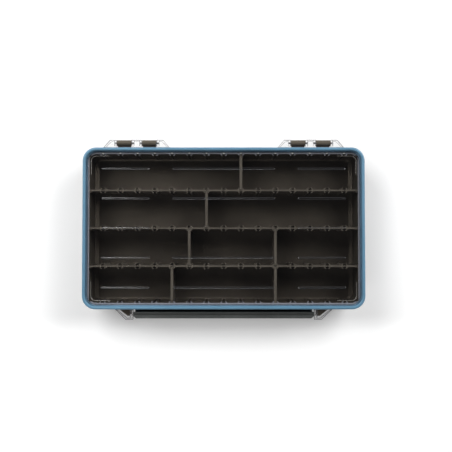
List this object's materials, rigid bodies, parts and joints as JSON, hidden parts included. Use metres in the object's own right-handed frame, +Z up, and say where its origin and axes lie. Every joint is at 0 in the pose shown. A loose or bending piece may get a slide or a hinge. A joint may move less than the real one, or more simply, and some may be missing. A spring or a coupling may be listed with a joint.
{
  "type": "waterproof storage box",
  "caption": "Shallow sealed box with movable compartment dividers, a clear window lid in a blue frame, rear hinges and a wide front latch.",
  "frame": {"origin": "centre of the tub's underside, midway between the outer edges of the lid frame", "axes": "+X along the length to the right, +Y from the latch to the hinges, +Z up"},
  "size_m": [0.356, 0.2282, 0.0508],
  "materials": {
    "tub_plastic": "dark warm grey moulded plastic with a fine grain",
    "divider_plastic": "warm grey moulded plastic, smooth",
    "pin_steel": "drawn steel wire",
    "window_plastic": "clear polished plastic",
    "frame_plastic": "satin blue plastic",
    "seal_rubber": "soft blue rubber",
    "latch_plastic": "dark grey moulded plastic, satin"
  },
  "bodies": {
    "base": {"tub": "tub_plastic", "long_divider_rear": "divider_plastic", "long_divider_middle": "divider_plastic", "long_divider_front": "divider_plastic", "cross_divider_1": "divider_plastic", "cross_divider_2": "divider_plastic", "cross_divider_3": "divider_plastic", "cross_divider_4": "divider_plastic", "cross_divider_5": "divider_plastic", "cross_divider_6": "divider_plastic", "hinge_pin_1": "pin_steel", "hinge_pin_2": "pin_steel", "hinge_pin_3": "pin_steel", "hinge_pin_4": "pin_steel"},
    "lid": {"lid_window": "window_plastic", "lid_frame": "frame_plastic", "lid_seal": "seal_rubber", "latch_pin_left": "pin_steel", "latch_pin_right": "pin_steel"},
    "latch": {"latch_bar": "latch_plastic"}
  },
  "joints": [
    {"name": "lid_hinge", "type": "hinge", "parent": "base", "child": "lid", "pos_m": [0, 0.1089, 0.03855], "axis": [-1, 0, 0], "range_deg": [0, 180]},
    {"name": "latch_swing", "type": "hinge", "parent": "lid", "child": "latch", "pos_m": [0, -0.1096, 0.04135], "axis": [-1, 0, 0], "range_deg": [-5.5, 110]}
  ]
}
